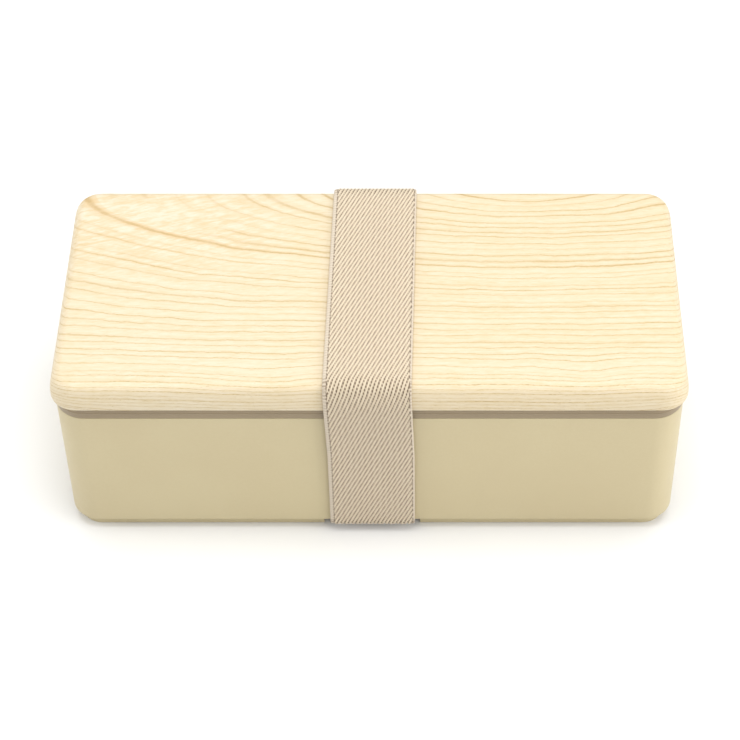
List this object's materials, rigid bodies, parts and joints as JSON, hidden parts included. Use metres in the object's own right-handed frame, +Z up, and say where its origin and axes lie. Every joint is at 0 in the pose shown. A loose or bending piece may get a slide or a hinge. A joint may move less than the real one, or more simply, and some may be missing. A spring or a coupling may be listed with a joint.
{
  "type": "bento lunch box",
  "caption": "Rounded rectangular lunch box with a wood-look lid, a sealing inner lid, sliding dividers and an elastic band.",
  "frame": {"origin": "on the table under the middle of the box, at the foot's underside", "axes": "+X along the box to the right, +Y to the back, +Z up through the lid"},
  "size_m": [0.21, 0.1024, 0.0729],
  "materials": {
    "container_plastic": "satin cream-beige moulded plastic",
    "lid_wood_look": "pale ash grain in a satin film",
    "rim_plastic": "satin taupe moulded plastic",
    "seal_silicone": "soft translucent white silicone",
    "divider_plastic": "satin pale beige moulded plastic",
    "band_elastic": "woven elastic webbing with a diagonal twill rib",
    "band_thread": "sewing thread"
  },
  "bodies": {
    "container": {"container": "container_plastic"},
    "inner_lid": {"inner_lid": "rim_plastic", "seal_ring": "seal_silicone"},
    "outer_lid": {"outer_lid": "lid_wood_look"},
    "divider_left": {"divider_left": "divider_plastic"},
    "divider_right": {"divider_right": "divider_plastic"},
    "band": {"band_webbing": "band_elastic", "band_stitching": "band_thread"}
  },
  "joints": [
    {"name": "inner_lid_lift", "type": "slide", "parent": "container", "child": "inner_lid", "axis": [0, 0, 1], "range_m": [0, 0.045]},
    {"name": "outer_lid_lift", "type": "slide", "parent": "inner_lid", "child": "outer_lid", "axis": [0, 0, 1], "range_m": [0, 0.045]},
    {"name": "divider_left_slide", "type": "slide", "parent": "container", "child": "divider_left", "axis": [1, 0, 0], "range_m": [-0.05, 0.018]},
    {"name": "divider_right_slide", "type": "slide", "parent": "container", "child": "divider_right", "axis": [1, 0, 0], "range_m": [-0.018, 0.05]},
    {"name": "band_slide", "type": "slide", "parent": "container", "child": "band", "axis": [1, 0, 0], "range_m": [0, 0.135], "deforming": ["band_webbing", "band_stitching"]}
  ]
}
